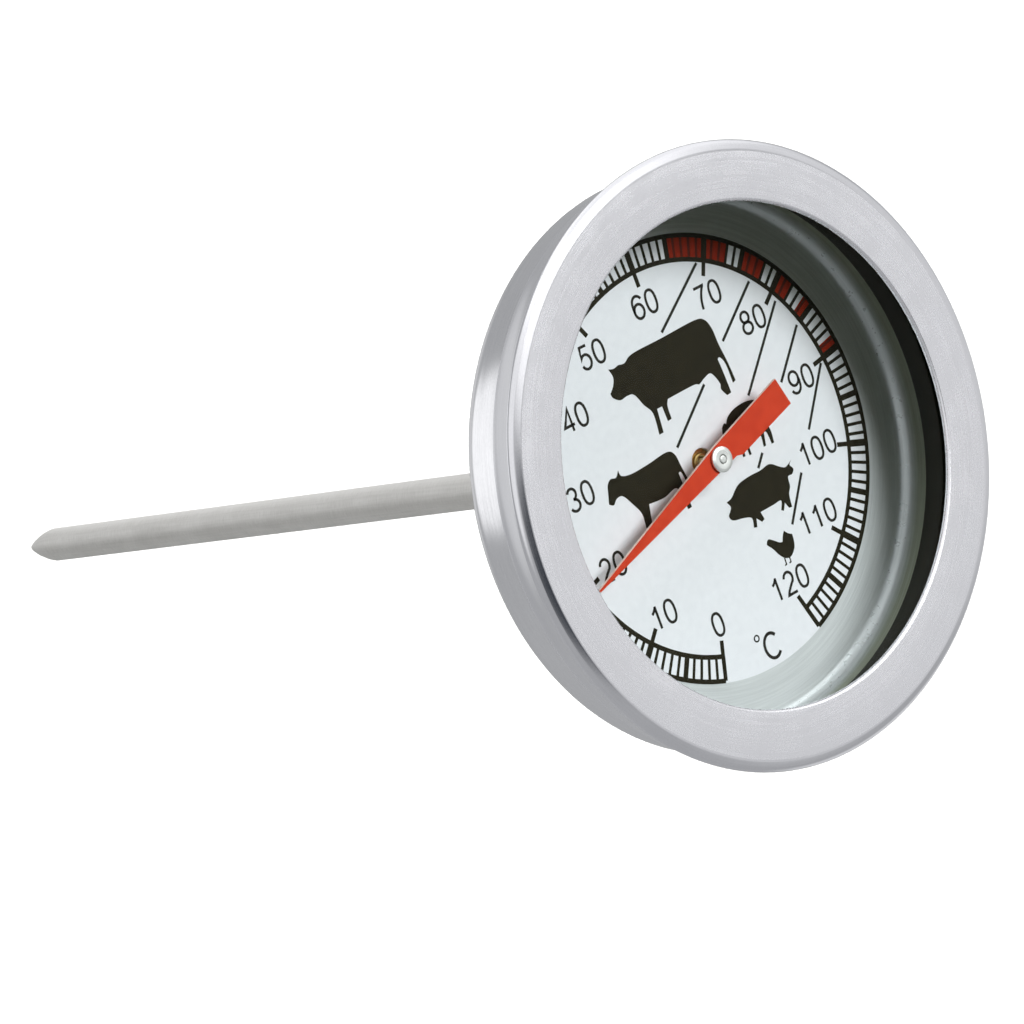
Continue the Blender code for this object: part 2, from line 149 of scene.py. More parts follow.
# Dial
PAN_WALL_R = 22.9
PAN_CORNER_R = 1.2
PAN_HOLE_R = 1.15
GROUND_R = 18.78
DEGREES_PER_CELSIUS = 2.7
MID_CELSIUS = 60
TOP_CELSIUS = 120
REST_CELSIUS = 20.7
BAND_INNER_R = 16.57
BAND_OUTER_R = 18.6
STUB_R = 15.25
SCALE_LIFT = 0.35

# Ink lies on the dial as a thin raised layer, sunk a little into it
INK_SINK = 0.01
RED_HEIGHT = 0.008
BLACK_HEIGHT = 0.016

# Stem
STEM_R = TUBE_HIGH.x
STEM_BORE_R = 1.27
NOSE_LENGTH = 4.75
NOSE_TAPER = 1.3
NOSE_FULLNESS = 0.8

HEAD_SEGMENTS = 192
STEM_SEGMENTS = 72
PIN_SEGMENTS = 48
SHARP_ANGLE = math.radians(38.0)

# ---------------------------------------------------------------- mesh helpers


def dial_point(x, up, height):
    """A point over the dial, in metres."""
    return Vector((x * MM, (DIAL_Y - height) * MM, up * MM))


def finish_object(name, mesh_data, material, body, replaced=()):
    """Turn a bmesh into a smooth-shaded piece that rides on a CAD body."""
    bmesh.ops.recalc_face_normals(mesh_data, faces=mesh_data.faces)
    mesh = bpy.data.meshes.new(name)
    mesh_data.to_mesh(mesh)
    mesh_data.free()
    mesh.materials.append(material)
    mesh.shade_smooth()
    mesh.set_sharp_from_angle(angle=SHARP_ANGLE)
    piece = bpy.data.objects.new(name, mesh)
    bpy.context.scene.collection.objects.link(piece)
    if body:
        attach(piece, body)
    if replaced:
        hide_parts(*replaced)
    return piece


def rounded(corners, closed, steps=5):
    """Profile whose corners (radius, height, fillet) are replaced by arcs where a fillet is given."""
    points = []
    count = len(corners)
    for index, corner in enumerate(corners):
        here = Vector(corner[:2])
        fillet = corner[2] if len(corner) > 2 else 0.0
        end_point = not closed and index in (0, count - 1)
        if fillet <= 0.0 or end_point:
            points.append(here)
            continue
        before = (Vector(corners[index - 1][:2]) - here).normalized()
        after = (Vector(corners[(index + 1) % count][:2]) - here).normalized()
        half = before.angle(after) / 2.0
        reach = fillet / math.tan(half)
        start = here + before * reach
        end = here + after * reach
        centre = here + (before + after).normalized() * (fillet / math.sin(half))
        sweep = (start - centre).angle_signed(end - centre)
        for step in range(steps + 1):
            spoke = start - centre
            spoke.rotate(Matrix.Rotation(-sweep * step / steps, 2))
            points.append(centre + spoke)
    return [(point.x, point.y) for point in points]


def arc(centre_r, centre_h, radius, start, end, steps=10, rise=None):
    """Profile points on a circle, or on an oval where a rise is given.

    Angles are in degrees from outwards towards the front.
    """
    rise = rise or radius
    points = []
    for step in range(steps + 1):
        angle = math.radians(start + (end - start) * step / steps)
        points.append((centre_r + radius * math.cos(angle), centre_h + rise * math.sin(angle)))
    return points


def bowed(start, end, bow, steps=10):
    """Profile points from start to end, bowed outwards by bow, or inwards where it is negative."""
    points = []
    for step in range(steps + 1):
        share = step / steps
        radius = start[0] + (end[0] - start[0]) * share + 4.0 * bow * share * (1.0 - share)
        points.append((radius, start[1] + (end[1] - start[1]) * share))
    return points


def turned(profile, segments, closed):
    """Solid made by spinning a profile of (radius, height) points about the stem's axis."""
    mesh_data = bmesh.new()
    points = [mesh_data.verts.new(dial_point(radius, 0.0, height)) for radius, height in profile]
    edges = [mesh_data.edges.new(pair) for pair in zip(points, points[1:])]
    if closed:
        edges.append(mesh_data.edges.new((points[-1], points[0])))
    bmesh.ops.spin(
        mesh_data,
        geom=points + edges,
        cent=(0.0, 0.0, 0.0),
        axis=(0.0, 1.0, 0.0),
        angle=2.0 * math.pi,
        steps=segments,
        use_merge=True,
    )
    bmesh.ops.remove_doubles(mesh_data, verts=mesh_data.verts, dist=1e-7)
    return mesh_data


def add_plate(mesh_data, outline, low, high):
    """Add a flat plate with an outline of (x, up) points between two heights."""
    base = [mesh_data.verts.new(dial_point(x, up, low)) for x, up in outline]
    top = [mesh_data.verts.new(dial_point(x, up, high)) for x, up in outline]
    mesh_data.faces.new(base)
    mesh_data.faces.new(list(reversed(top)))
    for index in range(len(outline)):
        mesh_data.faces.new((base[index - 1], top[index - 1], top[index], base[index]))


def add_skin(mesh_data, rings, closed=False):
    """Join rings of four corners into a bar, with flat ends unless it is closed."""
    pairs = list(zip(rings, rings[1:]))
    if closed:
        pairs.append((rings[-1], rings[0]))
    for near, far in pairs:
        for corner in range(4):
            following = (corner + 1) % 4
            mesh_data.faces.new((near[corner], near[following], far[following], far[corner]))
    if not closed:
        mesh_data.faces.new(rings[0])
        mesh_data.faces.new(rings[-1])


def add_ribbon(mesh_data, line, width, low, high, closed=False):
    """Add a stroke of even width along a line of (x, up) points."""
    points = [Vector(point) for point in line]
    count = len(points)
    rings = []
    for index, here in enumerate(points):
        before = points[index - 1] if index or closed else None
        after = points[(index + 1) % count] if index < count - 1 or closed else None
        arriving = (here - before).normalized() if before is not None else None
        leaving = (after - here).normalized() if after is not None else None
        ahead = (arriving or leaving) + (leaving or arriving)
        ahead.normalize()
        mitre = 1.0 / max(0.4, ahead.dot(leaving or arriving))
        side = Vector((-ahead.y, ahead.x)) * (width / 2.0 * mitre)
        left = here + side
        right = here - side
        corners = ((left, low), (right, low), (right, high), (left, high))
        rings.append([mesh_data.verts.new(dial_point(p.x, p.y, h)) for p, h in corners])
    add_skin(mesh_data, rings, closed)


def on_dial(radius, angle):
    """(x, up) of a polar position on the dial."""
    turn = math.radians(angle)
    return radius * math.cos(turn), radius * math.sin(turn)


def on_scale(radius, angle):
    """(x, up) of a polar position about the middle of the printed scale."""
    x, up = on_dial(radius, angle)
    return x, up + SCALE_LIFT


def scale_angle(celsius):
    """Dial angle of a temperature."""
    return 90.0 - (celsius - MID_CELSIUS) * DEGREES_PER_CELSIUS


# ---------------------------------------------------------------- materials


class Nodes:
    """Small helper that adds and links shader nodes in one material."""

    def __init__(self, name):
        self.material = bpy.data.materials.new(name)
        self.material.use_nodes = True
        self.tree = self.material.node_tree
        self.shader = self.tree.nodes["Principled BSDF"]
        self.output = self.tree.nodes["Material Output"]

    def add(self, kind, **settings):
        node = self.tree.nodes.new(kind)
        for name, value in settings.items():
            setattr(node, name, value)
        return node

    def link(self, source, target):
        self.tree.links.new(source, target)

    def feed(self, socket, value):
        """Set a socket from a number, a tuple or another node's socket."""
        if isinstance(value, bpy.types.NodeSocket):
            self.link(value, socket)
        else:
            socket.default_value = value

    def maths(self, operation, first, second=0.0, third=0.0):
        node = self.add("ShaderNodeMath", operation=operation)
        for socket, value in zip(node.inputs, (first, second, third)):
            self.feed(socket, value)
        return node.outputs[0]

    def position(self):
        """Object-space position."""
        return self.add("ShaderNodeTexCoord").outputs["Object"]

    def place(self):
        """Object-space position, split into x, y and z."""
        split = self.add("ShaderNodeSeparateXYZ")
        self.link(self.position(), split.inputs[0])
        return split.outputs[:3]

    def join(self, x, y, z):
        node = self.add("ShaderNodeCombineXYZ")
        for socket, value in zip(node.inputs, (x, y, z)):
            self.feed(socket, value)
        return node.outputs[0]

    def radius(self, lift=0.0):
        """Distance in metres from the stem's axis, or from a line above it."""
        x, _, z = self.place()
        z = self.maths("SUBTRACT", z, lift)
        square = self.maths("MULTIPLY_ADD", x, x, self.maths("MULTIPLY", z, z))
        return self.maths("SQRT", square)

    def turn(self):
        """Angle about the stem's axis, in radians."""
        x, _, z = self.place()
        return self.maths("ARCTAN2", z, x)

    def noise(self, vector, scale, detail=3.0, roughness=0.55):
        node = self.add("ShaderNodeTexNoise")
        self.feed(node.inputs["Vector"], vector)
        node.inputs["Scale"].default_value = scale
        node.inputs["Detail"].default_value = detail
        node.inputs["Roughness"].default_value = roughness
        return node.outputs["Fac"]

    def remap(self, value, low, high, from_low=0.3, from_high=0.7):
        node = self.add("ShaderNodeMapRange")
        self.feed(node.inputs["Value"], value)
        node.inputs["From Min"].default_value = from_low
        node.inputs["From Max"].default_value = from_high
        node.inputs["To Min"].default_value = low
        node.inputs["To Max"].default_value = high
        return node.outputs[0]

    def mix(self, factor, first, second):
        node = self.add("ShaderNodeMix", data_type="RGBA")
        self.feed(node.inputs["Factor"], factor)
        self.feed(node.inputs[6], first)
        self.feed(node.inputs[7], second)
        return node.outputs[2]

    def bump(self, height, strength, distance):
        node = self.add("ShaderNodeBump")
        self.feed(node.inputs["Height"], height)
        self.feed(node.inputs["Strength"], strength)
        node.inputs["Distance"].default_value = distance
        self.link(node.outputs["Normal"], self.shader.inputs["Normal"])

    def set(self, **inputs):
        for name, value in inputs.items():
            self.feed(self.shader.inputs[name.replace("_", " ")], value)


def spun_steel(name, dark, light, rough, grain=1.0, polished_r=None):
    """Satin steel with fine marks round the axis and a soft mottle, smoother past a radius."""
    nodes = Nodes(name)
    radius = nodes.radius()
    depth = nodes.place()[1]
    lines = nodes.noise(
        nodes.join(radius, depth, nodes.maths("MULTIPLY", nodes.turn(), 0.0004)), 9000.0, 4.0
    )
    position = nodes.position()
    mottle = nodes.noise(position, 420.0, 5.0, 0.6)
    speckle = nodes.noise(position, 5200.0, 2.0, 0.5)
    tone = nodes.maths("MULTIPLY_ADD", lines, 0.45, nodes.maths("MULTIPLY", mottle, 0.3))
    tone = nodes.maths("MULTIPLY_ADD", speckle, 0.25, tone)
    roughness = nodes.remap(tone, rough + 0.05, rough - 0.04, 0.35, 0.65)
    if polished_r:
        edge = nodes.remap(radius, 1.0, 0.5, polished_r * MM, (polished_r + 0.1) * MM)
        roughness = nodes.maths("MULTIPLY", roughness, edge)
    nodes.set(
        Base_Color=nodes.mix(nodes.remap(tone, 0.0, 1.0, 0.35, 0.65), dark, light),
        Metallic=1.0,
        Roughness=roughness,
    )
    nodes.bump(nodes.maths("MULTIPLY_ADD", speckle, 0.5, lines), 0.12 * grain, 0.00002)
    return nodes.material


def drawn_steel(name, dark, light, rough, metallic=1.0):
    """Polished tube: faint marks round the tube and longer ones along it."""
    nodes = Nodes(name)
    depth = nodes.place()[1]
    turn = nodes.turn()
    around = nodes.noise(nodes.join(depth, nodes.maths("MULTIPLY", turn, 0.0003), 0.0), 7000.0, 4.0)
    along = nodes.noise(
        nodes.join(nodes.maths("MULTIPLY", turn, 0.0016), nodes.maths("MULTIPLY", depth, 0.03), 0.0),
        5000.0, 3.0,
    )
    position = nodes.position()
    mottle = nodes.noise(position, 260.0, 4.0)
    tone = nodes.maths("MULTIPLY_ADD", around, 0.35, nodes.maths("MULTIPLY", along, 0.3))
    tone = nodes.maths("MULTIPLY_ADD", mottle, 0.35, tone)
    nodes.set(
        Base_Color=nodes.mix(nodes.remap(tone, 0.0, 1.0, 0.38, 0.62), dark, light),
        Metallic=metallic,
        Roughness=nodes.remap(tone, rough + 0.06, rough - 0.05, 0.38, 0.62),
    )
    nodes.bump(nodes.maths("MULTIPLY_ADD", along, 0.6, around), 0.1, 0.00002)
    return nodes.material


def dial_finish():
    """White print out to the scale's outer line, bare satin metal beyond, and a dark olive colour on the
    wall that is painted shade for the recess under the bezel.
    """
    nodes = Nodes("dial_finish")
    radius = nodes.radius(SCALE_LIFT * MM)
    depth = nodes.place()[1]
    position = nodes.position()
    bare = nodes.remap(radius, 0.0, 1.0, (GROUND_R - 0.03) * MM, (GROUND_R + 0.03) * MM)
    wall = nodes.remap(depth, 0.0, 1.0, (DIAL_Y - 0.6) * MM, (DIAL_Y - 1.6) * MM)
    corner = nodes.remap(depth, 0.0, 1.0, (DIAL_Y - 0.01) * MM, (DIAL_Y - 0.08) * MM)
    bend = nodes.maths("MULTIPLY", corner, nodes.maths("SUBTRACT", 1.0, wall))
    lines = nodes.noise(
        nodes.join(radius, depth, nodes.maths("MULTIPLY", nodes.turn(), 0.0005)), 6000.0, 3.0
    )
    peel = nodes.noise(position, 1500.0, 2.0)
    white = nodes.mix(nodes.remap(peel, 0.0, 1.0), (0.80, 0.82, 0.88, 1.0), (0.84, 0.86, 0.92, 1.0))
    metal = nodes.mix(nodes.remap(lines, 0.0, 1.0), (0.52, 0.55, 0.57, 1.0), (0.62, 0.65, 0.67, 1.0))
    # Painted shade: the wall gets a dark olive colour where the recess under the bezel lies in shade
    painted_wall_shade = nodes.mix(nodes.remap(lines, 0.0, 1.0), (0.24, 0.26, 0.20, 1.0), (0.32, 0.34, 0.28, 1.0))
    nodes.set(
        Base_Color=nodes.mix(bare, white, nodes.mix(wall, metal, painted_wall_shade)),
        Metallic=nodes.maths("MULTIPLY", bare, nodes.maths("MULTIPLY_ADD", bend, 0.40, 0.05)),
        Roughness=nodes.maths("MULTIPLY_ADD", bend, -0.2, nodes.remap(peel, 0.46, 0.54)),
        Specular_IOR_Level=0.1,
    )
    texture = nodes.maths("MULTIPLY_ADD", lines, 0.5, nodes.maths("MULTIPLY", peel, 0.5))
    nodes.bump(texture, nodes.maths("MULTIPLY_ADD", bend, -0.04, 0.05), 0.00002)
    return nodes.material


def ink(name, dark, light):
    """Printed ink with a slightly uneven lay."""
    nodes = Nodes(name)
    position = nodes.position()
    lay = nodes.noise(position, 1800.0, 3.0)
    nodes.set(
        Base_Color=nodes.mix(nodes.remap(lay, 0.0, 1.0), dark, light),
        Roughness=nodes.remap(lay, 0.42, 0.55),
        Specular_IOR_Level=0.08,
    )
    nodes.bump(lay, 0.08, 0.00001)
    return nodes.material


def pointer_paint():
    """Red lacquer on the flat faces; pale pink on the cut edges, which is bare metal lightened into a
    painted highlight.
    """
    nodes = Nodes("pointer_paint")
    position = nodes.position()
    geometry = nodes.add("ShaderNodeNewGeometry")
    split = nodes.add("ShaderNodeSeparateXYZ")
    nodes.link(geometry.outputs["True Normal"], split.inputs[0])
    flat = nodes.maths("GREATER_THAN", nodes.maths("ABSOLUTE", split.outputs["Y"]), 0.5)
    lay = nodes.noise(position, 1400.0, 3.0)
    red = nodes.mix(nodes.remap(lay, 0.0, 1.0), (0.56, 0.036, 0.008, 1.0), (0.64, 0.046, 0.011, 1.0))
    nodes.set(
        # The pale pink on the edges is bare cut metal with a painted highlight
        Base_Color=nodes.mix(flat, (0.92, 0.66, 0.58, 1.0), red),
        Metallic=nodes.maths("MULTIPLY_ADD", flat, -0.3, 0.3),
        Roughness=nodes.remap(lay, 0.38, 0.5),
        Specular_IOR_Level=0.2,
    )
    nodes.bump(lay, 0.06, 0.00001)
    return nodes.material


def clear_glass():
    """Thin clear glass: a faint reflection over what lies behind it, stronger at a low angle."""
    nodes = Nodes("clear_glass")
    position = nodes.position()
    haze = nodes.noise(position, 90.0, 2.0)
    facing = nodes.add("ShaderNodeLayerWeight")
    facing.inputs["Blend"].default_value = 0.5
    geometry = nodes.add("ShaderNodeNewGeometry")
    outside = nodes.maths("SUBTRACT", 1.0, geometry.outputs["Backfacing"])
    grazing = nodes.maths("POWER", facing.outputs["Facing"], 4.0)
    shine_share = nodes.maths("MULTIPLY", nodes.maths("MULTIPLY_ADD", grazing, 0.5, 0.005), outside)
    through = nodes.add("ShaderNodeBsdfTransparent")
    through.inputs["Color"].default_value = (0.985, 0.995, 0.99, 1.0)
    shine = nodes.add("ShaderNodeBsdfGlossy")
    nodes.feed(shine.inputs["Roughness"], nodes.remap(haze, 0.03, 0.06))
    blend = nodes.add("ShaderNodeMixShader")
    nodes.link(shine_share, blend.inputs[0])
    nodes.link(through.outputs[0], blend.inputs[1])
    nodes.link(shine.outputs[0], blend.inputs[2])
    nodes.link(blend.outputs[0], nodes.output.inputs["Surface"])
    nodes.tree.nodes.remove(nodes.shader)
    return nodes.material


def rubber(name, dark, light):
    """Matte moulded rubber with a fine grain."""
    nodes = Nodes(name)
    position = nodes.position()
    grain = nodes.noise(position, 3500.0, 3.0)
    nodes.set(
        Base_Color=nodes.mix(nodes.remap(grain, 0.0, 1.0), dark, light),
        Roughness=nodes.remap(grain, 0.5, 0.65),
        Specular_IOR_Level=0.2,
    )
    nodes.bump(grain, 0.2, 0.00003)
    return nodes.material


def turned_metal(name, dark, light, rough):
    """Small turned part: fine rings from the tool and a faint tarnish."""
    nodes = Nodes(name)
    depth = nodes.place()[1]
    rings = nodes.noise(nodes.join(nodes.radius(), depth, 0.0), 14000.0, 3.0)
    position = nodes.position()
    tarnish = nodes.noise(position, 700.0, 4.0)
    tone = nodes.maths("MULTIPLY_ADD", rings, 0.5, nodes.maths("MULTIPLY", tarnish, 0.5))
    nodes.set(
        Base_Color=nodes.mix(nodes.remap(tone, 0.0, 1.0, 0.38, 0.62), dark, light),
        Metallic=1.0,
        Roughness=nodes.remap(tone, rough + 0.06, rough - 0.05, 0.38, 0.62),
    )
    nodes.bump(rings, 0.15, 0.00001)
    return nodes.material


BEZEL_STEEL = spun_steel(
    "bezel_steel", (0.82, 0.82, 0.85, 1.0), (0.90, 0.90, 0.93, 1.0), 0.26, 1.0, BEZEL_FACE_R
)
CASE_STEEL = spun_steel("case_steel", (0.80, 0.80, 0.82, 1.0), (0.90, 0.90, 0.92, 1.0), 0.18, 0.7)
STEM_STEEL = drawn_steel("stem_steel", (0.55, 0.54, 0.53, 1.0), (0.66, 0.65, 0.64, 1.0), 0.48, 0.5)
DIAL_FINISH = dial_finish()
BLACK_INK = ink("black_ink", (0.012, 0.010, 0.004, 1.0), (0.020, 0.017, 0.008, 1.0))
GREY_INK = ink("grey_ink", (0.018, 0.017, 0.014, 1.0), (0.030, 0.028, 0.024, 1.0))
RED_INK = ink("red_ink", (0.27, 0.018, 0.004, 1.0), (0.36, 0.026, 0.006, 1.0))
DARK_RED_INK = ink("dark_red_ink", (0.085, 0.012, 0.006, 1.0), (0.12, 0.018, 0.008, 1.0))
POINTER_PAINT = pointer_paint()
CLEAR_GLASS = clear_glass()
BLACK_RUBBER = rubber("black_rubber", (0.010, 0.010, 0.006, 1.0), (0.020, 0.019, 0.012, 1.0))
BRASS = turned_metal("brass", (0.50, 0.34, 0.12, 1.0), (0.66, 0.48, 0.20, 1.0), 0.3)
BRIGHT_METAL = turned_metal("bright_metal", (0.84, 0.84, 0.82, 1.0), (0.94, 0.94, 0.92, 1.0), 0.3)
SPRING_STRIP = drawn_steel("spring_strip", (0.40, 0.37, 0.32, 1.0), (0.54, 0.50, 0.43, 1.0), 0.36)

# ---------------------------------------------------------------- head


def make_bezel():
    """Drawn ring: flat satin face, bevelled edge, coved side and rolled rear edge."""
    inside = BEZEL_FACE - BEZEL_SHEET
    lip_r = APERTURE_R + LIP_ROUND
    cove_top = BEZEL_RIM - 0.12
    foot_round = COVE_FOOT - BEZEL_REAR
    inner_foot = (BEZEL_HOOK_R + BEZEL_HOOK_SHEET, BEZEL_REAR + BEZEL_HOOK_SHEET)
    inner_top = (HEAD_R - BEZEL_SHEET, cove_top - BEZEL_SHEET)
    profile = [(APERTURE_R + BEZEL_SHEET, inside), (APERTURE_R, BEZEL_FACE - LIP_SHEET)]
    profile += arc(lip_r, BEZEL_FACE - LIP_ROUND, LIP_ROUND, 180.0, 90.0, 8)
    profile += arc(BEZEL_FACE_R, BEZEL_FACE - EDGE_WIDTH, EDGE_WIDTH, 90.0, 73.0, 4)
    profile += arc(HEAD_R - EDGE_WIDTH, BEZEL_RIM, EDGE_WIDTH, 62.0, 0.0, 12, EDGE_RISE)
    profile += bowed((HEAD_R - 0.04, cove_top), (COVE_FOOT_R, COVE_FOOT), -COVE_DEPTH, 12)
    profile += arc(COVE_FOOT_R - foot_round, COVE_FOOT, foot_round, 0.0, -90.0, 5)
    profile += [(BEZEL_HOOK_R, BEZEL_REAR), (BEZEL_HOOK_R, BEZEL_REAR + BEZEL_HOOK_SHEET)]
    profile += bowed(inner_foot, inner_top, -COVE_DEPTH)
    profile += [(BEZEL_FACE_R, inside)]
    mesh_data = turned(profile, HEAD_SEGMENTS, True)
    return finish_object(
        "bezel", mesh_data, BEZEL_STEEL, "housing", ("bezel_ring",)
    )


def make_case():
    """Drawn cup: recessed back, rounded shoulder, nearly straight band, neck and rim."""
    centre_r = CASE_R - CASE_SHOULDER_R
    centre_h = CASE_BACK + CASE_SHOULDER_R
    inside = CASE_BACK + CASE_SHEET
    neck_inner = CASE_NECK_R - CASE_SHEET
    recess = CASE_BACK + RECESS_DEPTH
    profile = [(CASE_HOLE_R, recess), (RECESS_R - RECESS_DEPTH, recess), (RECESS_R, CASE_BACK)]
    profile += arc(centre_r, centre_h, CASE_SHOULDER_R, -90.0, 0.0, 14)
    band_foot = (CASE_R + 0.01, centre_h + 0.2)
    flange_foot = CASE_RIM - CASE_FLANGE_SHEET
    profile += bowed(band_foot, (CASE_BULGE_R - 0.1, CASE_BAND_TOP), CASE_BAND_BOW)
    profile += [(CASE_NECK_R + 0.06, CASE_NECK_FOOT), (CASE_NECK_R, CASE_NECK)]
    profile += [(CASE_NECK_R, flange_foot - CASE_FLANGE_SLOPE), (CASE_FLANGE_R, flange_foot)]
    profile += [(CASE_FLANGE_R, CASE_RIM), (neck_inner, CASE_RIM)]
    profile += [(neck_inner, CASE_INNER_NECK), (CASE_BULGE_R - CASE_SHEET, CASE_INNER_BAND)]
    profile += arc(centre_r, centre_h, CASE_SHOULDER_R - CASE_SHEET, 0.0, -90.0, 14)
    profile += [(CASE_HOLE_R, inside)]
    mesh_data = turned(profile, HEAD_SEGMENTS, True)
    return finish_object("case", mesh_data, CASE_STEEL, "housing", ("case_cup",))


def make_pan():
    """Pressed dial with a rounded corner, an upright wall and a narrow flange."""
    corner_r = PAN_WALL_R - PAN_CORNER_R
    rim = front(PAN_LOW)
    flange_r = PAN_HIGH.x
    outer_wall_r = PAN_WALL_R + PAN_SHEET
    edge = 0.04
    ease = 0.12
    profile = [(PAN_HOLE_R, -edge), (PAN_HOLE_R + edge, 0.0)]
    profile += arc(corner_r, PAN_CORNER_R, PAN_CORNER_R, -90.0, 0.0, 20)
    profile += [(PAN_WALL_R, rim - ease), (PAN_WALL_R + ease, rim), (flange_r, rim)]
    profile += [(flange_r, rim - PAN_SHEET), (outer_wall_r, rim - PAN_SHEET)]
    profile += arc(corner_r, PAN_CORNER_R, PAN_CORNER_R + PAN_SHEET, 0.0, -90.0, 20)
    profile += [(PAN_HOLE_R, -PAN_SHEET)]
    mesh_data = turned(profile, HEAD_SEGMENTS, True)
    return finish_object("dial", mesh_data, DIAL_FINISH, "housing", ("dial_pan",))


def make_glass():
    """Flat glass with ground edges."""
    chamfer = 0.15
    low = back(GLASS_HIGH)
    high = front(GLASS_LOW)
    radius = GLASS_HIGH.x
    profile = [(0.0, low), (radius - chamfer, low), (radius, low + chamfer)]
    profile += [(radius, high - chamfer), (radius - chamfer, high), (0.0, high)]
    mesh_data = turned(profile, HEAD_SEGMENTS, False)
    return finish_object("glass", mesh_data, CLEAR_GLASS, "housing", ("lens_glass",))


def make_gasket():
    """Stepped rubber ring under and around the glass."""
    low = back(GASKET_HIGH)
    high = front(GASKET_LOW)
    seat = back(GLASS_HIGH) - 0.1
    shelf = CASE_RIM + 0.1
    outer_r = GASKET_HIGH.x
    foot_r = PAN_HIGH.x + 0.05
    wall_r = GLASS_HIGH.x + 0.1
    lip_r = 22.6
    corners = [(lip_r, low, 0.12), (foot_r, low, 0.08), (foot_r, shelf), (outer_r, shelf, 0.08)]
    corners += [(outer_r, high, 0.08), (wall_r, high, 0.08), (wall_r, seat), (lip_r, seat, 0.15)]
    mesh_data = turned(rounded(corners, True), HEAD_SEGMENTS, True)
    return finish_object(
        "gasket", mesh_data, BLACK_RUBBER, "housing", ("lens_gasket",)
    )


# ---------------------------------------------------------------- stem


def make_stem():
    """Tube and its ground-flush tapered nose, which read as one smooth sheath."""
    mouth = front(TUBE_LOW)
    tip = back(TIP_HIGH)
    root = tip + NOSE_LENGTH
    plug = front(TIP_LOW)
    profile = [(0.0, plug), (STEM_BORE_R, plug), (STEM_BORE_R, mouth), (STEM_R, mouth)]
    courses = 12
    for course in range(1, courses):
        profile.append((STEM_R, mouth + (root - mouth) * course / courses))
    steps = 18
    for step in range(steps):
        share = math.sin(math.radians(90.0 * step / steps))
        radius = STEM_R * (1.0 - share ** NOSE_TAPER) ** NOSE_FULLNESS
        profile.append((radius, root - NOSE_LENGTH * share))
    profile.append((0.0, tip))
    mesh_data = turned(profile, STEM_SEGMENTS, False)
    return finish_object(
        "stem", mesh_data, STEM_STEEL, "housing", ("stem_tube", "stem_tip")
    )


def make_collar():
    """Turned boss: wide foot against the case, narrower neck on the stem, rivet inside."""
    face = front(COLLAR_LOW)
    rear = back(COLLAR_HIGH)
    outer_r = COLLAR_HIGH.x
    rivet_r = 3.0
    neck_r = 2.4
    shank_r = CASE_HOLE_R - 0.2
    bore_r = STEM_R + 0.05
    foot = CASE_BACK - 0.35
    step = -3.6
    rivet_back = -0.95
    corners = [(bore_r, face), (rivet_r, face, 0.15), (rivet_r, rivet_back), (shank_r, rivet_back)]
    corners += [(shank_r, foot), (outer_r, foot, 0.1), (outer_r, step, 0.35)]
    corners += [(neck_r, step - 0.1, 0.25), (neck_r, rear, 0.3), (bore_r, rear)]
    mesh_data = turned(rounded(corners, True), STEM_SEGMENTS, True)
    return finish_object(
        "collar", mesh_data, STEM_STEEL, "housing", ("stem_collar",)
    )


def make_bearing():
    """Flanged bush in the mouth of the stem, with a rounded nose."""
    nose = front(BEARING_LOW)
    rear = back(BEARING_HIGH)
    bore_r = 0.4
    nose_r = 0.8
    nose_round = (nose_r - bore_r) / 2.0
    plug_r = 1.2
    flange_front = -0.4
    flange_back = -0.85
    profile = arc(bore_r + nose_round, nose - nose_round, nose_round, 180.0, 0.0, 12)
    profile += [(nose_r, flange_front), (BEARING_HIGH.x, flange_front)]
    profile += [(BEARING_HIGH.x, flange_back), (plug_r, flange_back), (plug_r, rear)]
    profile += [(bore_r, rear)]
    mesh_data = turned(profile, PIN_SEGMENTS, True)
    return finish_object("bearing", mesh_data, BRASS, "housing", ("spindle_bearing",))


def make_coil():
    """Bimetal strip wound in a helix; it twists between its anchor and the spindle."""
    high = front(COIL_LOW)
    low = back(COIL_HIGH)
    strip = 0.9
    pitch = 1.48
    inner_r = 0.76
    outer_r = 0.94
    steps_per_turn = 32
    steps = round((high - low - strip) / pitch * steps_per_turn)
    mesh_data = bmesh.new()
    rings = []
    for step in range(steps + 1):
        angle = 360.0 * step / steps_per_turn
        top = high - pitch * step / steps_per_turn
        corners = ((inner_r, 0.0), (outer_r, 0.0), (outer_r, -strip), (inner_r, -strip))
        ring = []
        for radius, drop in corners:
            x, up = on_dial(radius, angle)
            ring.append(mesh_data.verts.new(dial_point(x, up, top + drop)))
        rings.append(ring)
    add_skin(mesh_data, rings)
    coil = finish_object("coil", mesh_data, SPRING_STRIP, None, ("bimetal_coil",))
    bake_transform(coil)
    return coil


# ---------------------------------------------------------------- pointer


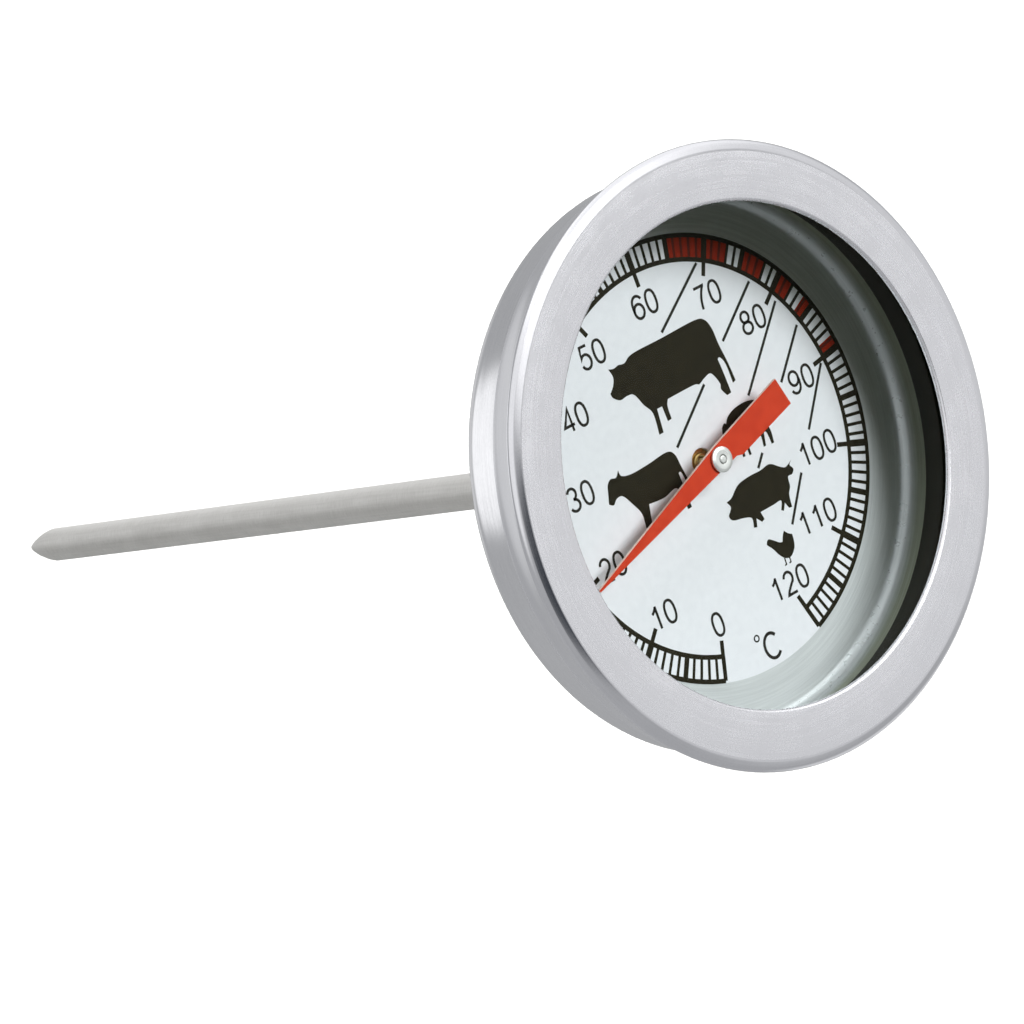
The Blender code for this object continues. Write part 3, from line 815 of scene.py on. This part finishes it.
def make_pointer():
    """Flat hand with a tapered blade, a blunt tail and one notch beside the hub."""
    low = back(POINTER_HIGH)
    high = front(POINTER_LOW)
    angle = math.radians(scale_angle(REST_CELSIUS))
    reach = 17.3
    tail = -9.25
    point_half = 0.09
    tail_half = 1.3
    shoulder_half = 1.2
    hole_r = 0.65
    outline = [(reach, -point_half), (reach, point_half), (-1.6, 0.87), (-2.2, shoulder_half)]
    outline += [(tail, tail_half), (tail, -tail_half), (0.0, -shoulder_half)]
    mesh_data = bmesh.new()
    edges = []
    hole = [on_dial(hole_r, 360.0 * step / PIN_SEGMENTS) for step in range(PIN_SEGMENTS)]
    for loop in (outline, hole):
        points = []
        for along, across in loop:
            x = along * math.cos(angle) - across * math.sin(angle)
            up = along * math.sin(angle) + across * math.cos(angle)
            points.append(mesh_data.verts.new(dial_point(x, up, low)))
        for index, point in enumerate(points):
            edges.append(mesh_data.edges.new((points[index - 1], point)))
    bmesh.ops.triangle_fill(mesh_data, edges=edges, use_beauty=True)
    grown = bmesh.ops.extrude_face_region(mesh_data, geom=list(mesh_data.faces))
    raised = [item for item in grown["geom"] if isinstance(item, bmesh.types.BMVert)]
    bmesh.ops.translate(mesh_data, verts=raised, vec=(0.0, (low - high) * MM, 0.0))
    return finish_object(
        "hand", mesh_data, POINTER_PAINT, "pointer_assembly", ("pointer",)
    )


def make_hub():
    """Cap, bush and spindle at the middle of the hand."""
    cap_low = back(CAP_HIGH)
    cap_high = front(CAP_LOW)
    cap_r = CAP_HIGH.x
    bore_r = 0.4
    corners = [(bore_r, cap_low), (cap_r, cap_low, 0.04), (cap_r, cap_high - 0.06, 0.1)]
    corners += [(cap_r - 0.3, cap_high, 0.25), (bore_r, cap_high, 0.03)]
    finish_object(
        "hub_cap", turned(rounded(corners, True), PIN_SEGMENTS, True), BRIGHT_METAL,
        "pointer_assembly", ("pointer_hub_cap",),
    )
    low = back(BUSH_HIGH)
    high = front(BUSH_LOW)
    collar_r = BUSH_HIGH.x
    collar_top = 1.95
    collar_foot = 1.5
    tenon_r = 0.6
    barrel_r = 0.7
    corners = [(bore_r, low), (bore_r, high), (tenon_r, high, 0.05), (tenon_r, collar_top)]
    corners += [(collar_r, collar_top, 0.08), (collar_r, collar_foot, 0.08)]
    corners += [(barrel_r, collar_foot), (barrel_r, low, 0.08)]
    finish_object(
        "hub_bush", turned(rounded(corners, True), PIN_SEGMENTS, True), BRASS,
        "pointer_assembly", ("pointer_bush",),
    )
    radius = SPINDLE_HIGH.x
    corners = [(0.0, back(SPINDLE_HIGH)), (radius, back(SPINDLE_HIGH), 0.08)]
    corners += [(radius, front(SPINDLE_LOW), 0.1), (0.0, front(SPINDLE_LOW))]
    finish_object(
        "spindle_rod", turned(rounded(corners, False), PIN_SEGMENTS, False), BRIGHT_METAL,
        "pointer_assembly", ("spindle",),
    )


# ---------------------------------------------------------------- print on the dial


def ellipse(centre_x, centre_y, radius_x, radius_y, start, end, steps=18):
    """Points on an ellipse between two angles in degrees."""
    points = []
    for step in range(steps + 1):
        angle = math.radians(start + (end - start) * step / steps)
        points.append((centre_x + radius_x * math.cos(angle), centre_y + radius_y * math.sin(angle)))
    return points


def ring_line(centre_x, centre_y, radius_x, radius_y, squareness=2.0, steps=36):
    """Closed oval; squareness above 2 fills its corners."""
    points = []
    power = 2.0 / squareness
    for step in range(steps):
        angle = 2.0 * math.pi * step / steps
        cosine, sine = math.cos(angle), math.sin(angle)
        x = math.copysign(abs(cosine) ** power, cosine)
        y = math.copysign(abs(sine) ** power, sine)
        points.append((centre_x + radius_x * x, centre_y + radius_y * y))
    return points


def curve(start, control, end, steps=10):
    """Points on a quadratic curve."""
    points = []
    for step in range(steps + 1):
        share = step / steps
        rest = 1.0 - share
        x = rest * rest * start[0] + 2.0 * rest * share * control[0] + share * share * end[0]
        y = rest * rest * start[1] + 2.0 * rest * share * control[1] + share * share * end[1]
        points.append((x, y))
    return points


def half_turn(strokes):
    """The strokes of a figure turned upside down."""
    return [([(0.56 - x, 1.0 - y) for x, y in line], closed) for line, closed in strokes]


# Centre lines of plain sans figures, one unit high and 0.56 wide: (points, closed)
SIX = [
    (ring_line(0.285, 0.32, 0.275, 0.32), True),
    (ellipse(0.31, 0.64, 0.30, 0.36, 28.0, 180.0) + [(0.0, 0.50), (0.01, 0.34)], False),
]
FIGURES = {
    "0": [(ring_line(0.28, 0.5, 0.28, 0.5, 2.35), True)],
    "1": [([(0.36, 0.0), (0.36, 1.03)], False), (curve((0.10, 0.74), (0.28, 0.83), (0.37, 1.0)), False)],
    "2": [
        (ellipse(0.28, 0.71, 0.26, 0.29, 168.0, -28.0) + curve((0.48, 0.52), (0.10, 0.22), (0.01, 0.0))
         + [(0.56, 0.0)], False),
    ],
    "3": [
        (ellipse(0.26, 0.755, 0.235, 0.245, 160.0, -90.0), False),
        (ellipse(0.26, 0.255, 0.275, 0.255, 90.0, -160.0), False),
    ],
    "4": [([(0.43, 0.0), (0.43, 1.0), (0.0, 0.27), (0.58, 0.27)], False)],
    "5": [
        ([(0.51, 1.0), (0.13, 1.0), (0.05, 0.50)] + ellipse(0.27, 0.32, 0.28, 0.32, 128.0, -158.0), False),
    ],
    "6": SIX,
    "7": [([(0.0, 1.0), (0.55, 1.0)] + curve((0.54, 0.97), (0.22, 0.60), (0.18, 0.0)), False)],
    "8": [(ring_line(0.28, 0.755, 0.235, 0.245), True), (ring_line(0.28, 0.265, 0.28, 0.265), True)],
    "9": half_turn(SIX),
    "C": [(ellipse(0.40, 0.5, 0.40, 0.5, 42.0, 318.0, 30), False)],
}
FIGURE_HEIGHT = 1.9
FIGURE_STROKE = 0.24
FIGURE_ADVANCE = 1.56

# Where the middle of each number sits on the dial: (x, up)
NUMBER_PLACES = {
    0: (-4.45, -12.8),
    10: (-9.5, -9.75),
    20: (-12.7, -4.1),
    30: (-13.3, 2.4),
    40: (-11.05, 8.4),
    50: (-7.1, 12.4),
    60: (-0.05, 14.1),
    70: (6.7, 12.35),
    80: (10.4, 8.7),
    90: (13.2, 2.2),
    100: (12.3, -3.75),
    110: (9.7, -9.0),
    120: (4.35, -12.8),
}


def write(mesh_data, text, centre, height=FIGURE_HEIGHT, stroke=FIGURE_STROKE):
    """Add figures centred on an (x, up) place."""
    left = centre[0] - FIGURE_ADVANCE * (len(text) - 1) / 2.0
    for index, letter in enumerate(text):
        middle = left + FIGURE_ADVANCE * index
        for line, closed in FIGURES[letter]:
            placed = []
            for x, y in line:
                placed.append((middle + (x - 0.28) * height, centre[1] + (y - 0.5) * height))
            add_ribbon(mesh_data, placed, stroke, -INK_SINK, BLACK_HEIGHT, closed)


def make_numbers():
    """Scale numbers and the unit."""
    mesh_data = bmesh.new()
    for number, place in NUMBER_PLACES.items():
        write(mesh_data, str(number), place)
    unit_place = (0.0, -16.75)
    write(mesh_data, "C", unit_place, 2.15, 0.28)
    degree = ring_line(-1.1, -15.55, 0.26, 0.26, steps=20)
    add_ribbon(mesh_data, degree, 0.13, -INK_SINK, BLACK_HEIGHT, True)
    return finish_object("numbers", mesh_data, GREY_INK, "housing")


def add_band(mesh_data, inner_r, outer_r, start, end, low, high):
    """Add a curved band between two dial angles."""
    steps = max(2, round(abs(end - start) / 1.5))
    middle = (inner_r + outer_r) / 2.0
    line = [on_scale(middle, start + (end - start) * step / steps) for step in range(steps + 1)]
    add_ribbon(mesh_data, line, outer_r - inner_r, low, high)


RED_ZONES = ((65.0, 73.0), (75.0, 78.0), (79.7, 82.0), (83.7, 85.2), (88.7, 90.0))


def in_red(celsius):
    """Whether a scale mark stands inside a red zone."""
    return any(low < celsius < high for low, high in RED_ZONES)


def make_scale():
    """Two arcs with the scale's marks between them."""
    black = bmesh.new()
    dark_red = bmesh.new()
    first = scale_angle(0)
    last = scale_angle(TOP_CELSIUS)
    line_width = 0.4
    ten_width = 0.6
    five_width = 0.5
    one_width = 0.28
    end_width = 0.42
    for radius in (BAND_INNER_R, BAND_OUTER_R):
        add_band(
            black, radius - line_width / 2.0, radius + line_width / 2.0, first, last,
            -INK_SINK, BLACK_HEIGHT,
        )
    for celsius in range(TOP_CELSIUS + 1):
        angle = scale_angle(celsius)
        width = ten_width if celsius % 10 == 0 else five_width if celsius % 5 == 0 else one_width
        if celsius in (0, TOP_CELSIUS):
            width = end_width
        lift = 0.0 if celsius % 5 else 0.001
        target = dark_red if in_red(celsius) and celsius % 5 else black
        line = [on_scale(BAND_INNER_R, angle), on_scale(BAND_OUTER_R, angle)]
        add_ribbon(target, line, width, -INK_SINK, BLACK_HEIGHT - 0.002 + lift)
        if celsius % 10 == 0:
            stub = [on_scale(STUB_R, angle), on_scale(BAND_INNER_R, angle)]
            add_ribbon(black, stub, line_width, -INK_SINK, BLACK_HEIGHT - 0.003)
    finish_object("scale_marks", black, BLACK_INK, "housing")
    finish_object("zone_marks", dark_red, DARK_RED_INK, "housing")
    red = bmesh.new()
    for low, high in RED_ZONES:
        start, end = scale_angle(low), scale_angle(high)
        add_band(red, BAND_INNER_R, BAND_OUTER_R, start, end, -INK_SINK, RED_HEIGHT)
    finish_object("red_zones", red, RED_INK, "housing")


# Lines from the red zones to the animals, as (x, up) ends
LEADERS = (
    ((6.7, 15.2), (0.62, 11.32)),
    ((11.45, 11.75), (6.5, 8.25)),
    ((3.0, 5.75), (-2.05, 2.1)),
    ((13.45, 9.2), (7.1, 3.1)),
    ((14.8, 6.5), (11.0, 2.75)),
    ((6.4, -1.8), (5.4, -2.8)),
    ((15.9, 2.6), (12.1, -2.0)),
    ((9.7, -4.95), (6.8, -8.5)),
)


def make_leaders():
    """Fine straight lines."""
    mesh_data = bmesh.new()
    for start, end in LEADERS:
        add_ribbon(mesh_data, [start, end], 0.26, -INK_SINK, BLACK_HEIGHT - 0.004)
    return finish_object("leader_lines", mesh_data, GREY_INK, "housing")


def smooth_outline(points, steps=5):
    """Closed outline through (x, up) points; a point with a third value keeps its corner."""
    count = len(points)
    spots = [Vector(point[:2]) for point in points]
    corner = [len(point) > 2 for point in points]
    outline = []
    for index in range(count):
        here, following = spots[index], spots[(index + 1) % count]
        before = here if corner[index] else spots[index - 1]
        after = following if corner[(index + 1) % count] else spots[(index + 2) % count]
        leave = (following - before) * 0.5
        arrive = (after - here) * 0.5
        for step in range(steps):
            t = step / steps
            a = 2 * t ** 3 - 3 * t ** 2 + 1
            b = t ** 3 - 2 * t ** 2 + t
            c = -2 * t ** 3 + 3 * t ** 2
            d = t ** 3 - t ** 2
            spot = here * a + leave * b + following * c + arrive * d
            outline.append((spot.x, spot.y))
    return outline


BULL = [
    (-6.05, 10.65, 1), (-5.5, 10.5), (-4.9, 10.6, 1), (-4.2, 10.5), (-3.1, 10.9), (0.5, 10.92),
    (4.3, 10.96), (5.4, 10.6), (5.85, 9.6), (5.95, 8.2), (6.2, 6.6), (6.36, 4.8, 1),
    (6.0, 4.7, 1), (5.95, 6.4), (5.6, 7.15), (5.3, 7.1, 1), (5.4, 5.8), (5.46, 4.05, 1),
    (4.95, 4.0, 1), (4.55, 4.7), (4.65, 5.2), (4.1, 6.3), (3.2, 6.2), (2.5, 5.95),
    (1.9, 6.12), (-1.2, 6.12, 1), (-1.5, 5.6), (-1.55, 4.5, 1), (-2.0, 4.45, 1), (-2.05, 5.8, 1),
    (-2.65, 5.8, 1), (-2.85, 3.8, 1), (-3.35, 3.78, 1), (-3.2, 5.6), (-3.8, 6.6), (-4.4, 7.75),
    (-5.1, 7.95), (-5.95, 7.9), (-6.6, 8.35), (-6.7, 8.75, 1), (-6.15, 9.25), (-5.85, 9.9),
]
CALF = [
    (-8.75, 2.8, 1), (-8.6, 2.25), (-7.5, 2.0), (-5.5, 2.05), (-3.3, 2.2), (-2.55, 1.7),
    (-2.35, 0.6), (-2.1, -0.9), (-2.35, -1.0, 1), (-2.55, 0.1), (-2.85, 0.15, 1), (-2.8, -1.2),
    (-2.75, -2.9, 1), (-3.2, -2.95, 1), (-3.35, -1.6), (-3.7, -0.85), (-5.2, -1.1), (-6.9, -0.95, 1),
    (-7.1, -1.7), (-7.3, -2.65, 1), (-8.05, -2.65, 1), (-7.95, -1.4), (-8.5, -0.3), (-9.2, 0.7),
    (-9.9, 0.75), (-10.4, 0.4), (-10.85, 0.65, 1), (-10.6, 1.3), (-10.3, 2.1), (-9.8, 2.45),
    (-9.2, 2.35),
]
LAMB = [
    (3.0, 1.25, 1), (3.2, 1.7), (3.55, 2.0), (3.75, 1.85, 1), (4.2, 2.35), (5.2, 2.72),
    (6.6, 2.78), (7.7, 2.45), (8.25, 1.6), (8.25, 0.6), (8.05, 0.1), (8.1, -0.6),
    (8.0, -1.5, 1), (7.72, -1.52, 1), (7.6, -0.4), (7.3, -0.35, 1), (7.05, -1.4, 1), (6.78, -1.42, 1),
    (6.85, -0.2), (6.0, -0.35), (5.35, -0.2), (5.25, -1.45, 1), (5.0, -1.47, 1), (4.95, -0.1),
    (4.7, -0.05, 1), (4.55, -1.35, 1), (4.28, -1.35, 1), (4.3, 0.1), (3.95, 0.7), (3.75, 1.1),
    (3.4, 1.0),
]
PIG = [
    (0.62, -5.15, 1), (1.15, -4.6), (0.9, -4.05, 1), (1.6, -3.9), (2.7, -3.2), (4.2, -3.02),
    (5.5, -3.05), (6.7, -2.95), (7.7, -3.6), (8.3, -3.85), (9.1, -3.55, 1), (8.75, -3.85),
    (9.0, -4.3), (8.7, -4.65), (8.15, -4.7), (8.0, -5.5), (7.6, -6.1), (7.45, -7.15, 1),
    (7.1, -7.1, 1), (6.85, -6.5, 1), (6.45, -7.1, 1), (6.2, -6.95, 1), (6.55, -6.2), (5.6, -6.2),
    (4.0, -6.2, 1), (4.15, -6.9, 1), (3.8, -7.0, 1), (3.35, -6.5, 1), (3.1, -7.2, 1), (2.75, -7.1, 1),
    (2.9, -6.3), (2.1, -5.95), (1.1, -5.75), (0.7, -5.5),
]
HEN = [
    (3.42, -8.95, 1), (3.6, -8.68), (3.85, -8.62), (4.35, -8.95), (4.8, -9.3), (5.15, -9.4, 1),
    (5.4, -8.95), (5.7, -8.6, 1), (6.0, -8.95), (6.42, -9.2, 1), (6.35, -9.85), (6.1, -10.4),
    (5.5, -10.85), (4.85, -10.75), (4.3, -10.2), (3.95, -9.6),
]


def make_animals():
    """Five plain silhouettes, one for each red zone."""
    for name, points in (("bull", BULL), ("calf", CALF), ("lamb", LAMB), ("pig", PIG), ("hen", HEN)):
        mesh_data = bmesh.new()
        add_plate(mesh_data, smooth_outline(points), -INK_SINK, BLACK_HEIGHT)
        if name == "hen":
            for x in (4.75, 5.3):
                leg = [(x, -10.7), (x - 0.02, -11.25), (x - 0.22, -11.3)]
                add_ribbon(mesh_data, leg, 0.13, -INK_SINK, BLACK_HEIGHT - 0.004)
        finish_object("silhouette_" + name, mesh_data, BLACK_INK, "housing")


# ---------------------------------------------------------------- CAD nodes that stay

CARRIED = {
    "collar_seal": BLACK_RUBBER,
    "collar_washer": BRIGHT_METAL,
    "guide_bush_front": BRASS,
    "guide_bush_rear": BRASS,
    "coil_anchor": BRIGHT_METAL,
    "coil_coupler": BRIGHT_METAL,
    "thrust_ring": BRASS,
}


def dress_nodes():
    """Give each CAD node that is still shown its finished material."""
    for name, material in CARRIED.items():
        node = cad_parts[name]
        node.data.materials.clear()
        node.data.materials.append(material)


# ---------------------------------------------------------------- studio

FLOOR_DROP = 0.15
FLOOR_REACH = 12.0
VIEW_HEADING = 37.057
VIEW_DIP = 10.556
VIEW_ROLL = 20.54
CAMERA_PLACE = Vector((-0.24916, DIAL_Y * MM - 0.30294, 0.07471))
LENS = 169.04
SENSOR = 36.0


def make_camera():
    """Long lens left of the dial, tilted so that the top of the scale leans left."""
    heading = math.radians(VIEW_HEADING)
    dip = math.radians(VIEW_DIP)
    roll = math.radians(VIEW_ROLL)
    forward = Vector((
        math.sin(heading) * math.cos(dip), math.cos(heading) * math.cos(dip), -math.sin(dip)
    ))
    level = Vector((math.cos(heading), -math.sin(heading), 0.0))
    upright = level.cross(forward)
    right = level * math.cos(roll) - upright * math.sin(roll)
    up = level * math.sin(roll) + upright * math.cos(roll)
    data = bpy.data.cameras.new("camera")
    data.lens = LENS
    data.sensor_width = SENSOR
    data.clip_start = 0.01
    camera = bpy.data.objects.new("camera", data)
    axes = Matrix((right, up, -forward)).transposed()
    camera.matrix_world = Matrix.Translation(CAMERA_PLACE) @ axes.to_4x4()
    bpy.context.scene.collection.objects.link(camera)
    bpy.context.scene.camera = camera


def make_floor():
    """Plain pale floor, wide enough to fill the view; it casts nothing back on the metal."""
    mesh = bpy.data.meshes.new("floor")
    level = CAD_BOX[0].z - FLOOR_DROP
    signs = ((-1, -1), (1, -1), (1, 1), (-1, 1))
    corners = [(x * FLOOR_REACH, y * FLOOR_REACH, level) for x, y in signs]
    mesh.from_pydata(corners, [], [(0, 1, 2, 3)])
    nodes = Nodes("floor_paint")
    nodes.set(Base_Color=(0.95, 0.95, 0.95, 1.0), Roughness=0.9)
    mesh.materials.append(nodes.material)
    floor = bpy.data.objects.new("floor", mesh)
    floor.visible_glossy = False
    floor.visible_diffuse = False
    floor.visible_shadow = False
    bpy.context.scene.collection.objects.link(floor)


# Soft boxes and dark cards that the metal mirrors: direction, cosines where it starts and
# where it is full, and how much light it adds.
STUDIO_BASE = (0.395, 0.40, 0.41)
STUDIO_PATCHES = (
    ((0.45, -0.30, 0.84), 0.55, 0.90, 0.62),
    ((-0.50, -0.65, 0.55), 0.68, 0.86, 0.47),
    ((0.30, -0.93, 0.21), 0.95, 0.99, 0.40),
    ((-0.50, 0.80, 0.32), 0.925, 0.965, 0.68),
    ((0.10, 0.985, 0.08), 0.94, 0.985, 0.24),
    ((0.57, -0.72, -0.40), 0.93, 0.995, 0.185),
    ((0.90, -0.38, -0.15), 0.90, 0.98, 0.25),
    ((0.85, 0.38, -0.30), 0.86, 0.94, 0.20),
    ((0.60, 0.00, -0.80), 0.92, 0.985, 0.28),
    ((0.13, -0.975, -0.19), 0.96, 0.995, -0.36),
)
# Matt surfaces see a dim room with one soft box high on the right, and a lamp over the floor
ROOM_BASE = (0.092, 0.098, 0.070)
ROOM_PATCHES = (
    ((0.403, -0.858, 0.317), 0.94, 0.99, 14.5),
    ((0.0, 0.0, 1.0), 0.86, 0.97, 6.5),
    ((-0.62, 0.45, -0.64), 0.80, 0.95, 2.2),
)


def add_patches(tree, direction, base, patches):
    """Sum of soft-edged patches of light over a base level."""
    total = base
    for heading, start, full, amount in patches:
        dot = tree.nodes.new("ShaderNodeVectorMath")
        dot.operation = "DOT_PRODUCT"
        dot.inputs[1].default_value = Vector(heading).normalized()
        tree.links.new(direction, dot.inputs[0])
        patch = tree.nodes.new("ShaderNodeMapRange")
        patch.interpolation_type = "SMOOTHSTEP"
        patch.inputs["From Min"].default_value = start
        patch.inputs["From Max"].default_value = full
        patch.inputs["To Min"].default_value = 0.0
        patch.inputs["To Max"].default_value = amount
        tree.links.new(dot.outputs["Value"], patch.inputs["Value"])
        add = tree.nodes.new("ShaderNodeVectorMath")
        if isinstance(total, tuple):
            add.inputs[1].default_value = total
        else:
            tree.links.new(total, add.inputs[1])
        tree.links.new(patch.outputs[0], add.inputs[0])
        total = add.outputs[0]
    return total


def choose_by_ray(tree, ray, others, chosen):
    """Use the chosen shader for one kind of ray and the other shader for the rest."""
    choice = tree.nodes.new("ShaderNodeMixShader")
    tree.links.new(ray, choice.inputs[0])
    tree.links.new(others, choice.inputs[1])
    tree.links.new(chosen, choice.inputs[2])
    return choice.outputs[0]


def make_light():
    """White backdrop for the camera, soft boxes for metal to mirror, a dim room for the rest."""
    world = bpy.data.worlds.new("studio")
    bpy.context.scene.world = world
    world.use_nodes = True
    tree = world.node_tree
    room = tree.nodes["Background"]
    studio = tree.nodes.new("ShaderNodeBackground")
    backdrop = tree.nodes.new("ShaderNodeBackground")
    direction = tree.nodes.new("ShaderNodeTexCoord").outputs["Generated"]
    tree.links.new(add_patches(tree, direction, ROOM_BASE, ROOM_PATCHES), room.inputs["Color"])
    tree.links.new(add_patches(tree, direction, STUDIO_BASE, STUDIO_PATCHES), studio.inputs["Color"])
    backdrop.inputs["Color"].default_value = (1.0, 1.0, 1.0, 1.0)
    ray = tree.nodes.new("ShaderNodeLightPath")
    lit = choose_by_ray(tree, ray.outputs["Is Glossy Ray"], room.outputs[0], studio.outputs[0])
    seen = choose_by_ray(tree, ray.outputs["Is Camera Ray"], lit, backdrop.outputs[0])
    tree.links.new(seen, tree.nodes["World Output"].inputs["Surface"])
    bpy.context.scene.view_settings.view_transform = "Standard"


make_bezel()
make_case()
make_pan()
make_glass()
make_gasket()
make_stem()
make_collar()
make_bearing()
make_coil()
make_pointer()
make_hub()
make_numbers()
make_scale()
make_leaders()
make_animals()
dress_nodes()
make_camera()
make_floor()
make_light()
